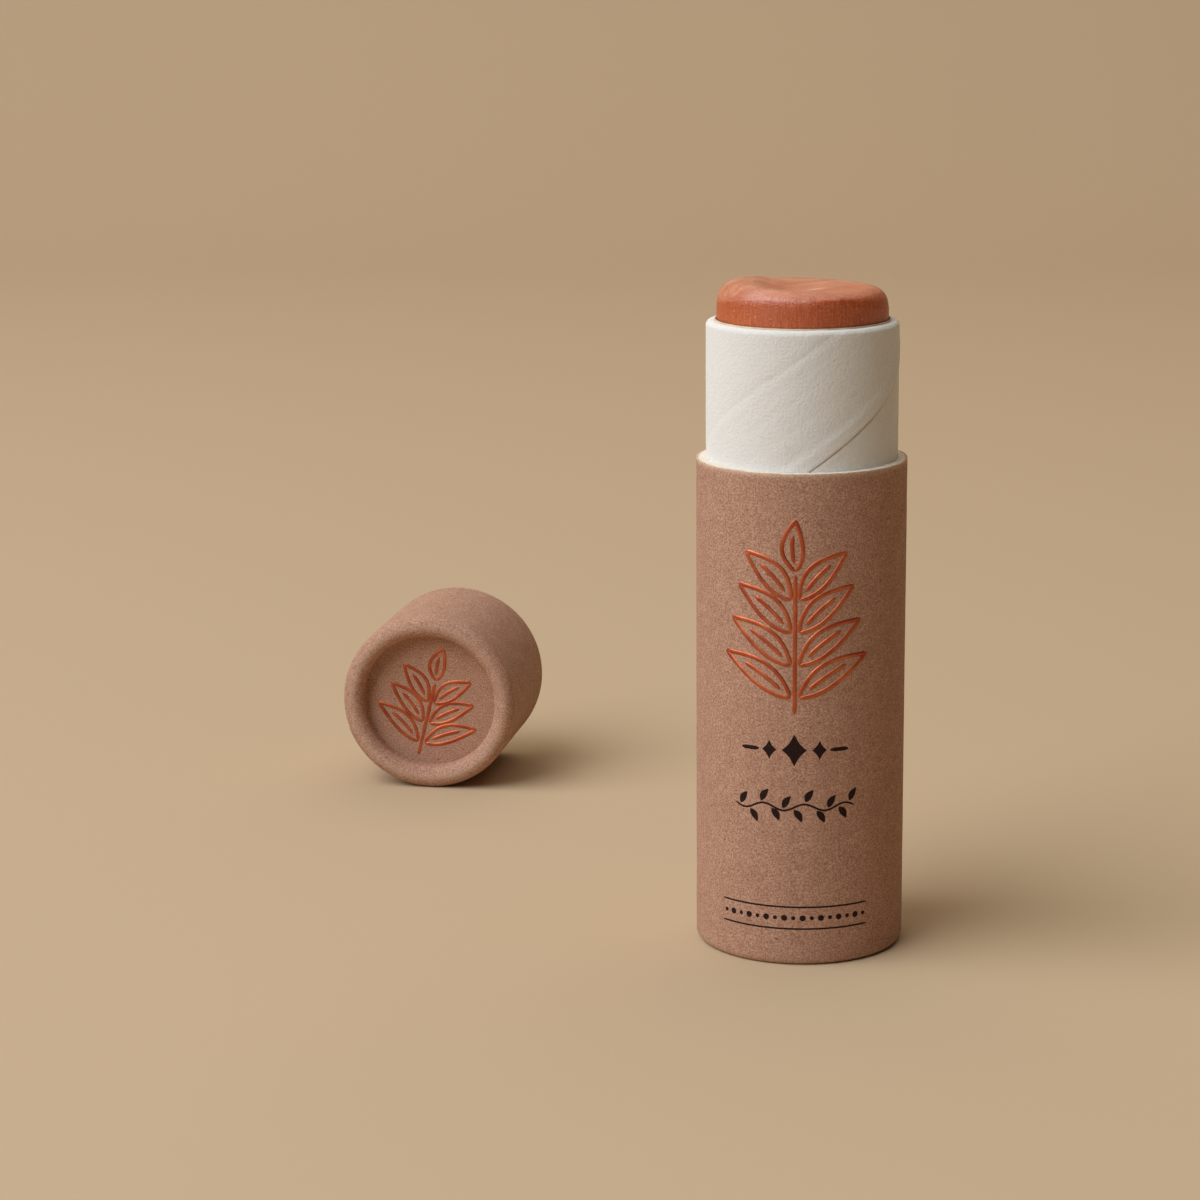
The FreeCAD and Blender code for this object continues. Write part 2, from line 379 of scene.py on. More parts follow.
def new_material(name):
    """A material, its node tree and its Principled node."""
    material = bpy.data.materials.new(name)
    material.use_nodes = True
    tree = material.node_tree
    return material, tree, tree.nodes["Principled BSDF"]


def rgb(red, green, blue):
    """A colour as written on screen, 0 to 255, as Blender's own linear colour."""
    linear = []
    for value in (red, green, blue):
        c = value / 255
        linear.append(c / 12.92 if c <= 0.04045 else ((c + 0.055) / 1.055) ** 2.4)
    return (*linear, 1.0)


def flat_place(tree):
    """The piece's own coordinates in millimetres."""
    own = add_node(tree, "ShaderNodeTexCoord").outputs["Object"]
    scaled = add_node(tree, "ShaderNodeVectorMath", {"operation": "SCALE"}, {0: own, "Scale": 1 / MM})
    return scaled.outputs["Vector"]


def wound_place(tree, place):
    """Coordinates along a round wall: how far round, how high and how far out, in millimetres."""
    split = add_node(tree, "ShaderNodeSeparateXYZ", None, {"Vector": place}).outputs
    front = math_node(tree, "MULTIPLY", split["Y"], -1.0)
    turn = math_node(tree, "ARCTAN2", split["X"], front)
    round_way = math_node(tree, "MULTIPLY", turn, 10.0)
    joint = add_node(tree, "ShaderNodeCombineXYZ", None, {"X": round_way, "Y": split["Z"], "Z": 0.0})
    return joint.outputs["Vector"]


def math_node(tree, operation, first, second):
    """The result of one sum on two values."""
    node = add_node(tree, "ShaderNodeMath", {"operation": operation}, {0: first, 1: second})
    return node.outputs["Value"]


def noise(tree, place, scale, detail=2.0, rough=0.5):
    """Noise of so many features per millimetre."""
    values = {"Vector": place, "Scale": scale, "Detail": detail, "Roughness": rough}
    return add_node(tree, "ShaderNodeTexNoise", None, values).outputs["Fac"]


def stretched(tree, place, turn, scale):
    """Coordinates turned in the surface and stretched, for fibres and streaks."""
    rotation = (0.0, 0.0, math.radians(turn))
    values = {"Vector": place, "Rotation": rotation, "Scale": (*scale, 1.0)}
    return add_node(tree, "ShaderNodeMapping", None, values).outputs["Vector"]


def spread(tree, value, low, high, to_low=0.0, to_high=1.0):
    """A value brought from one range to another, and kept inside it."""
    values = {"Value": value, "From Min": low, "From Max": high, "To Min": to_low, "To Max": to_high}
    return add_node(tree, "ShaderNodeMapRange", None, values).outputs["Result"]


def blended(tree, factor, first, second):
    """A colour between two colours."""
    node = add_node(tree, "ShaderNodeMix", {"data_type": "RGBA"})
    for socket, value in ((node.inputs[0], factor), (node.inputs[6], first), (node.inputs[7], second)):
        if isinstance(value, bpy.types.NodeSocket):
            tree.links.new(value, socket)
        else:
            socket.default_value = value
    return node.outputs[2]


def marked(tree, name):
    """A number stored on the mesh."""
    return add_node(tree, "ShaderNodeAttribute", {"attribute_name": name}).outputs["Fac"]


def specks(tree, place, scale, size, share, amount=1.0):
    """Small scattered specks: how much of one is at each point."""
    cells = add_node(tree, "ShaderNodeTexVoronoi", None, {"Vector": place, "Scale": scale})
    split = add_node(tree, "ShaderNodeSeparateColor", None, {"Color": cells.outputs["Color"]})
    chosen = math_node(tree, "LESS_THAN", split.outputs["Red"], share)
    near = spread(tree, cells.outputs["Distance"], size, 0.5 * size, 0.0, amount)
    return math_node(tree, "MULTIPLY", near, chosen)


def bumped(tree, shader, height, distance, strength):
    """Fine relief of a surface, its depth in millimetres."""
    values = {"Height": height, "Distance": distance * MM, "Strength": strength}
    bump = add_node(tree, "ShaderNodeBump", None, values)
    tree.links.new(bump.outputs["Normal"], shader.inputs["Normal"])


# Ways in which the fibres of paper lie, in degrees.
FIBRE_TURNS = (24, 82, -41)


def paper(name, light, dark, fleck, worn, round_wall=True, flecks=0.035):
    """Uncoated paper or card: sandy grain, clouds, fibres, dark crumbs and rubbed edges."""
    material, tree, shader = new_material(name)
    place = flat_place(tree)
    wound = wound_place(tree, place) if round_wall else place
    grain = noise(tree, place, 6.4, 3.0, 0.6)
    cloud = noise(tree, place, 0.6, 4.0, 0.6)
    colour = blended(tree, spread(tree, grain, 0.36, 0.64), dark, light)
    colour = blended(tree, spread(tree, cloud, 0.4, 0.7, 0.0, 0.3), colour, dark)
    for turn in FIBRE_TURNS:
        lying = stretched(tree, wound, turn, (1.0, 5.0))
        colour = blended(tree, specks(tree, lying, 0.9, 0.3, flecks, 0.5), colour, fleck)
        crossing = stretched(tree, wound, turn + 33, (1.0, 6.0))
        colour = blended(tree, specks(tree, crossing, 1.1, 0.3, 0.05, 0.45), colour, worn)
    crumbs = specks(tree, stretched(tree, wound, 64, (1.0, 1.8)), 0.34, 0.085, 0.3, 0.75)
    colour = blended(tree, crumbs, colour, fleck)
    rubbed = math_node(tree, "MULTIPLY", marked(tree, "wear"), spread(tree, grain, 0.3, 0.5, 0.35, 1.0))
    colour = blended(tree, rubbed, colour, worn)
    tree.links.new(colour, shader.inputs["Base Color"])
    tree.links.new(spread(tree, grain, 0.35, 0.65, 0.92, 0.74), shader.inputs["Roughness"])
    shader.inputs["Specular IOR Level"].default_value = 0.3
    bumped(tree, shader, grain, 0.06, 0.75)
    return material


def white_paper(name):
    """White facing paper, embossed as fine as leather, with a tan seam and a few faint stains."""
    material, tree, shader = new_material(name)
    place = flat_place(tree)
    mottle = noise(tree, place, 0.8, 3.0, 0.55)
    pebble = noise(tree, place, 3.4, 2.0, 0.5)
    grain = noise(tree, place, 7.0, 2.0, 0.6)
    colour = blended(tree, spread(tree, mottle, 0.36, 0.64), rgb(239, 238, 234), rgb(241, 240, 236))
    colour = blended(tree, spread(tree, grain, 0.6, 0.76, 0.0, 0.3), colour, rgb(208, 205, 197))
    colour = blended(tree, marked(tree, "stain"), colour, rgb(178, 148, 112))
    colour = blended(tree, marked(tree, "seam"), colour, rgb(168, 134, 98))
    colour = blended(tree, marked(tree, "wear"), colour, rgb(240, 237, 229))
    tree.links.new(colour, shader.inputs["Base Color"])
    tree.links.new(spread(tree, pebble, 0.3, 0.7, 0.52, 0.68), shader.inputs["Roughness"])
    shader.inputs["Specular IOR Level"].default_value = 0.35
    shader.inputs["Diffuse Roughness"].default_value = 0.45
    relief = math_node(tree, "ADD", pebble, math_node(tree, "MULTIPLY", grain, 0.7))
    bumped(tree, shader, relief, 0.06, 0.88)
    return material


def pulp_board(name, light, dark):
    """Raw grey-white board: felted pulp with the faint lines of its wound layers on a cut edge."""
    material, tree, shader = new_material(name)
    place = flat_place(tree)
    split = add_node(tree, "ShaderNodeSeparateXYZ", None, {"Vector": place}).outputs
    flat = add_node(tree, "ShaderNodeCombineXYZ", None, {"X": split["X"], "Y": split["Y"], "Z": 0.0})
    out = add_node(tree, "ShaderNodeVectorMath", {"operation": "LENGTH"}, {0: flat.outputs["Vector"]})
    layer = math_node(tree, "FRACT", math_node(tree, "MULTIPLY", out.outputs["Value"], 3.3), 0.0)
    line = spread(tree, layer, 0.0, 0.22, 0.35, 0.0)
    pulp = noise(tree, place, 5.0, 4.0, 0.65)
    colour = blended(tree, spread(tree, pulp, 0.36, 0.64), dark, light)
    colour = blended(tree, line, colour, dark)
    colour = blended(tree, specks(tree, place, 1.2, 0.12, 0.08), colour, rgb(178, 150, 118))
    tree.links.new(colour, shader.inputs["Base Color"])
    tree.links.new(spread(tree, pulp, 0.3, 0.7, 0.95, 0.78), shader.inputs["Roughness"])
    shader.inputs["Specular IOR Level"].default_value = 0.25
    bumped(tree, shader, pulp, 0.05, 0.6)
    return material


def greaseproof(name):
    """Thin hard-pressed paper with a slight sheen and cloudy pulp."""
    material, tree, shader = new_material(name)
    place = flat_place(tree)
    cloud = noise(tree, place, 0.9, 5.0, 0.65)
    grain = noise(tree, place, 6.0, 2.0)
    colour = blended(tree, spread(tree, cloud, 0.35, 0.65), rgb(214, 198, 166), rgb(232, 222, 198))
    tree.links.new(colour, shader.inputs["Base Color"])
    tree.links.new(spread(tree, cloud, 0.3, 0.7, 0.36, 0.55), shader.inputs["Roughness"])
    bumped(tree, shader, grain, 0.02, 0.4)
    return material


def balm_wax(name):
    """Tinted wax: paler where worn, with painted shade and a painted highlight on the top, fine grain,
    pale specks and a soft sheen.
    """
    material, tree, shader = new_material(name)
    place = flat_place(tree)
    wound = wound_place(tree, place)
    streak = noise(tree, stretched(tree, wound, 0, (4.2, 0.3)), 1.0, 4.0, 0.65)
    swirl = noise(tree, stretched(tree, place, 24, (0.35, 1.1)), 1.0, 4.0, 0.6)
    grain = noise(tree, place, 5.2, 3.0, 0.62)
    wall_colour = blended(tree, spread(tree, streak, 0.36, 0.66), rgb(188, 82, 32), rgb(212, 108, 54))
    worn_colour = blended(tree, spread(tree, swirl, 0.38, 0.62), rgb(198, 118, 84), rgb(218, 150, 116))
    # The worn mask is paler rubbed wax. Where it is cut back on the dimple's left slope, it is painted
    # shade.
    worn = marked(tree, "worn")
    colour = blended(tree, worn, wall_colour, worn_colour)
    left = spread(tree, worn, 0.0, 1.0, 1.0, 0.45)
    dark = math_node(tree, "MULTIPLY", spread(tree, grain, 0.44, 0.64, 0.0, 0.6), left)
    colour = blended(tree, dark, colour, rgb(150, 62, 24))
    # Painted highlight: a pale patch on the top, right of the dimple, stands in for light caught there.
    colour = blended(tree, marked(tree, "painted_highlight"), colour, rgb(238, 188, 162))
    colour = blended(tree, specks(tree, place, 2.0, 0.21, 0.26, 0.75), colour, rgb(232, 160, 110))
    tree.links.new(colour, shader.inputs["Base Color"])
    tree.links.new(spread(tree, swirl, 0.3, 0.7, 0.38, 0.52), shader.inputs["Roughness"])
    shader.inputs["Specular IOR Level"].default_value = 1.0
    shader.inputs["Subsurface Weight"].default_value = 0.12
    shader.inputs["Subsurface Radius"].default_value = (1.0, 0.35, 0.18)
    shader.inputs["Subsurface Scale"].default_value = 0.2 * MM
    streaks = math_node(tree, "MULTIPLY", streak, 0.22)
    grains = math_node(tree, "MULTIPLY", math_node(tree, "MULTIPLY", grain, 0.6), left)
    bumped(tree, shader, math_node(tree, "ADD", streaks, grains), 0.12, 0.9)
    return material


def copper_foil(name):
    """Hot-stamped metal foil that shows the grain of the paper under it."""
    material, tree, shader = new_material(name)
    place = flat_place(tree)
    grain = noise(tree, place, 4.0, 4.0, 0.62)
    patch = noise(tree, place, 0.5, 2.0)
    colour = blended(tree, spread(tree, patch, 0.35, 0.65), rgb(186, 92, 62), rgb(212, 120, 82))
    colour = blended(tree, spread(tree, grain, 0.62, 0.76, 0.0, 0.5), colour, rgb(118, 54, 34))
    tree.links.new(colour, shader.inputs["Base Color"])
    shader.inputs["Metallic"].default_value = 1.0
    tree.links.new(spread(tree, grain, 0.35, 0.65, 0.4, 0.58), shader.inputs["Roughness"])
    bumped(tree, shader, grain, 0.03, 0.5)
    return material


def brown_ink(name):
    """Flat printing ink, thinner where the paper's grain is proud."""
    material, tree, shader = new_material(name)
    place = flat_place(tree)
    grain = noise(tree, place, 4.2, 4.0, 0.6)
    colour = blended(tree, spread(tree, grain, 0.52, 0.72), rgb(36, 18, 14), rgb(66, 40, 32))
    tree.links.new(colour, shader.inputs["Base Color"])
    tree.links.new(spread(tree, grain, 0.35, 0.65, 0.7, 0.88), shader.inputs["Roughness"])
    shader.inputs["Specular IOR Level"].default_value = 0.2
    bumped(tree, shader, grain, 0.03, 0.5)
    return material


def plain_floor(name, colour):
    """The stage's matt surface."""
    material, tree, shader = new_material(name)
    shader.inputs["Base Color"].default_value = colour
    shader.inputs["Roughness"].default_value = 0.9
    shader.inputs["Specular IOR Level"].default_value = 0.2
    return material


KRAFT_LIGHT = rgb(209, 167, 142)
KRAFT_DARK = rgb(156, 111, 89)
KRAFT_FLECK = rgb(104, 68, 50)
KRAFT_WORN = rgb(222, 192, 168)
CARD_LIGHT = rgb(182, 140, 104)
CARD_DARK = rgb(148, 106, 74)
CARD_FLECK = rgb(96, 62, 42)
FLOOR_COLOUR = rgb(198, 173, 141)

kraft = paper("kraft_wound", KRAFT_LIGHT, KRAFT_DARK, KRAFT_FLECK, KRAFT_WORN)
kraft_flat = paper("kraft_flat", KRAFT_LIGHT, KRAFT_DARK, KRAFT_FLECK, KRAFT_WORN, round_wall=False)
card = paper("kraft_card", CARD_LIGHT, CARD_DARK, CARD_FLECK, KRAFT_WORN, flecks=0.08)
white = white_paper("white_facing")
board = pulp_board("pulp_board", rgb(240, 233, 219), rgb(224, 212, 190))
ply = pulp_board("white_board", rgb(243, 240, 233), rgb(234, 229, 218))
liner = greaseproof("greaseproof")
wax = balm_wax("balm_wax")
foil = copper_foil("copper_foil")
ink = brown_ink("brown_ink")


# The standing tube


def wear_near(height, edge, reach):
    """1 at an edge's height and 0 beyond the reach."""
    return np.clip(1 - np.abs(height - edge) / reach, 0.0, 1.0)


def on_label(middle):
    """Turns flat points on the printed front into points on the wrap."""
    def place(flat, lift):
        angle = LABEL_TURN + flat[:, 0] / OUTER_R
        height = middle + flat[:, 1]
        radius = OUTER_R + paper_relief(angle, height, WRAP_SEED) + lift
        return ring_points(radius, height, angle)
    return place


def outer_wrap():
    """Kraft wrap with a lap seam at the back and pleats under its foot."""
    edge = 0.05
    profile = [(r, 0.0) for r in spaced(FOOT_R, OUTER_R - FOOT_BEND, 0.3)[:-1]]
    profile += arc(OUTER_R - FOOT_BEND, FOOT_BEND, FOOT_BEND, -90, 0, 9)
    outside_from = len(profile) - 1
    profile += wall(OUTER_R, FOOT_BEND, BODY_TOP - edge, 0.27)
    profile += arc(OUTER_R - edge, BODY_TOP - edge, edge, 0, 90, 4)
    outside_to = len(profile)
    inner = OUTER_R - WRAP
    inner_row = 25.0
    profile += arc(inner + edge, BODY_TOP - edge, edge, 90, 180, 4)
    profile += [(inner, inner_row)]
    profile += arc(OUTER_R - FOOT_BEND, FOOT_BEND, FOOT_BEND - WRAP, 0, -90, 6)
    profile += [(FOOT_R, WRAP)]

    columns = spaced(-math.pi + 0.002, math.pi - 0.002, 0.27 / OUTER_R)
    radius, height, angle = swept(profile, columns)
    outside = np.zeros(len(profile), bool)
    outside[outside_from:outside_to] = True
    lap = 0.07 * (1 - smooth_step(0.0, 0.55, angle + math.pi))
    radius[outside] += (paper_relief(angle, height, WRAP_SEED) + lap)[outside]
    frayed = 0.025 * lattice_noise(turn_share(angle) * 150, height * 0 + 3, 150, 5)
    height += frayed * (height > BODY_TOP - 0.12)
    under = (height < 0.01) & (radius < OUTER_R - FOOT_BEND)
    share = 1 - (radius - FOOT_R) / (OUTER_R - FOOT_BEND - FOOT_R)
    pleat = np.abs(np.sin(29 * angle + 0.8 * np.sin(5 * angle))) ** 3
    height += under * 0.09 * share * pleat

    piece = ring_piece("wrap", radius, height, angle, kraft, "tube")
    wear = 0.9 * wear_near(height, BODY_TOP, 0.5) + 0.35 * wear_near(height, 0.25, 0.5)
    mark(piece, "wear", wear)
    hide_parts("outer_wrap")


def outer_board():
    """Board tube under the wrap: a slightly frayed cut edge at its top and a turned-in foot."""
    inner = BOARD_R - BOARD
    edge = 0.09
    bend = FOOT_BEND - WRAP - GLUE
    flange_top = BOARD_FOOT + BOARD
    profile = [(r, BOARD_FOOT) for r in spaced(FOOT_R, BOARD_R - bend, 0.5)[:-1]]
    profile += arc(BOARD_R - bend, BOARD_FOOT + bend, bend, -90, 0, 5)
    profile += wall(BOARD_R, BOARD_FOOT + bend, BODY_TOP - edge, 12.0)
    profile += arc(BOARD_R - edge, BODY_TOP - edge, edge, 0, 90, 4)
    top_from = len(profile)
    profile += [(r, BODY_TOP) for r in spaced(BOARD_R - edge, inner + edge, 0.1)[1:-1]]
    top_to = len(profile)
    profile += arc(inner + edge, BODY_TOP - edge, edge, 90, 180, 4)
    profile += [(inner, HALF_WAY), (inner, flange_top), (FOOT_R, flange_top)]
    columns = even_columns(360)
    radius, height, angle = swept(profile, columns)
    turns = turn_share(angle)
    cut = 0.022 * lattice_noise(turns * 180, radius * 6, 180, 21) - 0.012
    saw = 0.02 * lattice_noise(turns * 28, radius * 0 + 5, 28, 22)
    rows = np.zeros((len(profile), 1))
    rows[top_from:top_to] = 1.0
    height += rows * (cut + saw)
    piece = ring_piece("tube_board", radius, height, angle, board, "tube")
    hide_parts("outer_tube")


# The neck's paper is wound: its columns follow the winding, so that the seam runs along one of them.
SEAM_RISE = 6.59
SEAM_FOOT = 48.065
DENT_FOOT = 59.46
WINDING_LEAN = math.atan(SEAM_RISE / NECK_R)

# Distances from a seam, in millimetres, at which the facing has extra columns, and how far they reach.
SEAM_STEPS = (1.8, 1.6, 1.4, 1.2, 1.0, 0.8, 0.6, 0.4, 0.26, 0.18, 0.12, 0.07, 0.03)
SEAM_REACH = 1.95

# Faint stains: degrees, height, size and strength.
STAINS = ((-6.8, 50.5, 0.5, 0.12), (31.5, 55.9, 0.16, 0.45), (-18.9, 57.6, 0.2, 0.25))


def neck_facing():
    """White facing of the neck: an open seam, a lifted edge beside it and the dent of the ply below."""
    inner = NECK_R - FACING
    lip = arc(NECK_R - LIP, NECK_TOP - LIP, LIP, 0, 46, 7)
    profile = [(NECK_R, NECK_FOOT)] + wall(NECK_R, NECK_FOOT, NECK_TOP - LIP, 0.3) + lip
    outside_to = len(profile)
    inner_top = NECK_TOP - 0.3
    profile += [(inner, inner_top)] + wall(inner, inner_top, NECK_FOOT, 0.3) + [(inner, NECK_FOOT)]

    seam = -SEAM_FOOT / SEAM_RISE
    dent = -DENT_FOOT / SEAM_RISE
    per_mm = 1 / (SEAM_RISE * math.cos(WINDING_LEAN))
    steps = np.array(SEAM_STEPS)
    fine = np.concatenate([-steps, [0.0], steps[::-1]]) * per_mm
    base = even_columns(220)
    far = np.ones(len(base), bool)
    for line in (seam, dent):
        far &= np.abs(signed(base - line)) > SEAM_REACH * per_mm
    phase = np.sort(np.mod(np.concatenate([base[far], seam + fine, dent + fine]), TURN))

    radius, height, angle = swept(profile, phase)
    angle = angle + height / SEAM_RISE
    outside = np.zeros((len(profile), 1))
    outside[:outside_to] = 1.0

    def beside(line):
        return signed(phase - line)[None, :] / per_mm * np.ones_like(height)

    from_seam = beside(seam)
    from_dent = beside(dent)
    ragged = 1 + 0.35 * lattice_noise(height * 3.0, height * 0 + 2, 90, 31)
    open_seam = 1 - 0.75 * smooth_step(52.0, 56.5, height)
    groove = 0.035 * open_seam * np.exp(-((from_seam / (0.06 * ragged)) ** 2))
    lifted = 0.075 * smooth_step(-1.8, -1.1, from_seam) * (1 - smooth_step(-0.25, 0.05, from_seam))
    sunk = 0.034 * np.exp(-((from_dent / 0.36) ** 2)) - 0.012 * np.exp(-(((from_dent - 0.8) / 0.4) ** 2))
    turns = turn_share(angle)
    waves = 0.006 * lattice_noise(turns * 26, height / 1.9, 26, 32)
    along_winding = turn_share(phase)[None, :] * 60 + 0 * height
    creases = 0.008 * lattice_noise(along_winding, height / 6.0, 60, 33)
    radius += outside * (lifted + waves + creases - groove - sunk)
    height += (height > NECK_TOP - 0.45) * 0.02 * lattice_noise(turns * 40, height * 0 + 4, 40, 34)

    piece = ring_piece("neck_paper", radius, height, angle, white, "tube")
    mark(piece, "seam", 0.85 * open_seam * outside * np.exp(-((from_seam / (0.06 * ragged)) ** 4)))
    stain = np.zeros_like(height)
    turned = signed(angle)
    for turn, level, size, amount in STAINS:
        away = np.hypot((turned - math.radians(turn)) * NECK_R, height - level)
        stain += amount * np.exp(-((away / size) ** 2))
    mark(piece, "stain", np.clip(stain, 0, 1))
    mark(piece, "wear", 0.5 * smooth_step(NECK_TOP - 0.32, NECK_TOP - 0.1, height))
    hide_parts("neck_facing")


def neck_plies():
    """The two board plies of the neck. Their burnished cut edge is the pale rim round the balm."""
    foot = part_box("neck_outer_ply")[0].z / MM
    outer = (NECK_R - 0.155, NECK_R - 0.485)
    inner = (NECK_R - 0.49, NECK_R - 0.82)
    low = NECK_TOP - LIP
    rounded = arc(NECK_R - LIP, low, LIP, 49, 88, 8)
    edge = 0.08
    square = arc(inner[0] - 0.02, NECK_TOP - 0.02, 0.02, 0, 90, 3)
    square += arc(inner[1] + edge, NECK_TOP - edge, edge, 90, 180, 4)
    for name, node, radii, top in (
        ("neck_ply_out", "neck_outer_ply", outer, rounded),
        ("neck_ply_in", "neck_inner_ply", inner, square),
    ):
        profile = [(radii[0], foot), (radii[0], HALF_WAY), (radii[0], low)] + top
        profile += [(radii[1], low), (radii[1], HALF_WAY), (radii[1], foot)]
        columns = even_columns(300)
        radius, height, angle = swept(profile, columns)
        turns = turn_share(angle)
        uneven = 0.014 * lattice_noise(turns * 75, radius * 4, 75, 35)
        wavy = 0.02 * lattice_noise(turns * 40, height * 0 + 4, 40, 34)
        height += (height > NECK_TOP - 0.2) * (uneven + wavy - 0.008)
        piece = ring_piece(name, radius, height, angle, ply, "tube")
        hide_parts(node)


# The balm


def round_table(angle, rows):
    """Values between the rows (degrees, value) of a table that goes once round."""
    degrees = np.degrees(signed(angle))
    turns = [row[0] for row in rows]
    return np.interp(degrees, turns, [row[1] for row in rows], period=360)


# The balm's shape round the axis, as rows of degrees and a value.
# Heights above the neck's rim at which the wall ends: sharply in front, softly on the right.
BALM_CREASE = (
    (-170, 2.15), (-130, 2.15), (-80, 2.1), (-60, 2.31), (-48, 2.45), (-32, 2.58),
    (-23, 2.68), (-14, 2.6), (-2, 2.47), (9, 2.6), (14, 2.7), (22, 2.7),
    (30, 2.5), (40, 2.25), (60, 1.8), (90, 1.5), (120, 1.45), (150, 1.75),
)

# Radii at which the shoulder ends and the top begins.
BALM_TOP_EDGE = (
    (-170, 6.5), (-130, 6.2), (-90, 6.15), (-60, 6.6), (-45, 6.9), (-20, 7.2), (5, 7.25),
    (22, 7.1), (30, 6.9), (45, 6.6), (65, 6.4), (90, 6.3), (120, 6.2), (150, 6.4),
)

# The shoulder's section: 0 is a straight slope and 1 a quarter of a circle.
BALM_ROUNDNESS = (
    (-170, 0.9), (-120, 0.95), (-90, 0.95), (-60, 0.65), (-30, 0.5),
    (20, 0.5), (32, 0.85), (45, 1.0), (130, 1.0),
)

# Heights above the neck's rim at which the paler, rubbed surface begins.
BALM_RUBBED = (
    (-170, 1.9), (-90, 1.6), (-60, 2.15), (-40, 2.5), (-20, 2.7), (-2, 2.5),
    (14, 2.72), (25, 2.7), (40, 2.65), (60, 2.8), (90, 2.7), (140, 2.25),
)


def hump(x, y, wide, long):
    """1 at the origin, and less the further a place is from it."""
    return np.exp(-((x / wide) ** 2) - (y / long) ** 2)


def balm_dimple(x, y):
    """How much of the dimple is at a place on the top."""
    return hump(x + 0.9, y + 0.8, 2.1, 2.9)


def balm_top(x, y):
    """Height of the worn top above the neck's rim: it leans, and has a bowl and a dimple."""
    leaning = 3.42 - 0.034 * x - 0.02 * np.clip(y, 0, None) + 0.24 * smooth_step(3.0, 4.9, -x)
    out = np.hypot(x + 0.3, y + 0.3) / 6.3
    bowl = 0.30 * np.clip(1 - out**2, 0, 1) ** 2
    dimple = 0.42 * balm_dimple(x, y)
    drag = lattice_noise((0.9 * x + 0.42 * y) / 4.0 + 30, (0.9 * y - 0.42 * x) / 1.1 + 30, 90, 41)
    pits = lattice_noise(x / 0.45 + 40, y / 0.45 + 40, 90, 42)
    return leaning - bowl - dimple + 0.045 * drag + 0.008 * pits


def balm_stick():
    """Stick of balm: streaked wall, worn shoulder, leaning and dented top, with painted shade beside the
    dimple and a painted highlight on the top.
    """
    count = 360
    columns = even_columns(count)
    crease = round_table(columns, BALM_CREASE)
    top_edge = round_table(columns, BALM_TOP_EDGE)
    roundness = round_table(columns, BALM_ROUNDNESS)
    sin = np.sin(columns)
    cos = -np.cos(columns)

    chamfer = 0.3
    wall_rows = spaced(0.0, 1.0, 1 / 50)
    crown_rows = spaced(0.0, 1.0, 1 / 24)[1:]
    wall_from = BALM_FOOT + chamfer
    crown_from = NECK_TOP - 0.6
    shoulder_rows = spaced(0.0, 1.0, 1 / 16)[1:]
    top_rows = spaced(0.0, 1.0, 1 / 44)[1:-1]
    radius = [np.full(count, BALM_R - chamfer)]
    height = [np.full(count, BALM_FOOT)]
    for share in wall_rows:
        radius.append(np.full(count, BALM_R))
        height.append(np.full(count, wall_from + (crown_from - wall_from) * share))
    for share in crown_rows:
        level = crown_from + (NECK_TOP + crease - crown_from) * share
        radius.append(BALM_R - 0.09 * smooth_step(-0.4, 0.1, level - NECK_TOP - crease))
        height.append(level)
    shoulder_r = radius[-1]
    rim = NECK_TOP + balm_top(top_edge * sin, top_edge * cos)
    for share in shoulder_rows:
        turn = share * math.pi / 2
        out = roundness * math.cos(turn) + (1 - roundness) * (1 - share)
        up = roundness * math.sin(turn) + (1 - roundness) * share
        radius.append(top_edge + (shoulder_r - top_edge) * out)
        height.append(NECK_TOP + crease + (rim - NECK_TOP - crease) * up)
    for share in top_rows:
        radius.append(top_edge * (1 - share))
        height.append(NECK_TOP + balm_top(radius[-1] * sin, radius[-1] * cos))
    radius = np.array(radius)
    height = np.array(height)
    angle = np.broadcast_to(columns, radius.shape).copy()

    turns = turn_share(angle)
    on_wall = smooth_step(BALM_R - 1.2, BALM_R - 0.1, radius)
    scored = 0.005 * lattice_noise(turns * 120, height / 4.0, 120, 43)
    lumps = 0.012 * lattice_noise(turns * 30, height / 1.6, 30, 44)
    level_above = height - NECK_TOP
    slanted = np.degrees(signed(angle)) - 5 * (2.6 - level_above)
    flake = 0.09 * hump(slanted - 24.5, level_above - 2.6, 1.6, 0.3)
    scar = 0.10 * hump(slanted - 28.5, level_above - 2.5, 1.9, 0.35)
    radius += on_wall * (scored + lumps + flake - scar - 0.012)

    points = ring_points(radius, height, angle)
    faces = ring_faces(len(radius), count, False)
    centre = NECK_TOP + float(balm_top(np.zeros(1), np.zeros(1))[0])
    points, faces = capped(points, faces, len(radius), count, BALM_FOOT, centre)
    piece = new_piece("balm_stick", points, faces, wax, "push_up")
    rubbed_from = round_table(columns, BALM_RUBBED)[None, :]
    across = radius * sin
    along = radius * cos
    worn = 0.5 * smooth_step(rubbed_from, rubbed_from + 0.16, level_above)
    worn += 0.5 * smooth_step(rubbed_from + 0.3, rubbed_from + 0.9, level_above)
    # Painted shade: the pale rubbed colour is taken back on the dimple's left slope, so that the slope
    # reads as shaded.
    worn *= 1 - 0.6 * balm_dimple(across + 1.2, along - 0.8)
    mark(piece, "worn", np.concatenate([worn.ravel(), [0.0, 1.0]]))
    # Painted highlight: a pale patch on the top, right of the dimple, where a highlight falls.
    painted_highlight = 0.65 * hump(across - 1.3, along + 0.3, 1.1, 0.7) * (level_above > 2.0)
    mark(piece, "painted_highlight", np.concatenate([painted_highlight.ravel(), [0.0, 0.0]]))
    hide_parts("balm")


# The cap


def cap_place():
    """Where the cap lies: its frame's Z from mouth to closed end, Y up."""
    way = np.array([-math.sin(CAP_TURN), -math.cos(CAP_TURN), 0.0])
    up = np.array([0.0, 0.0, 1.0])
    side = np.cross(up, way)
    mouth = (np.array(CAP_END_PLACE) - CAP_LENGTH * way) * MM
    return placed(side, up, way, mouth)


CAP_PLACE = cap_place()
CAP_LAP = math.radians(-70)


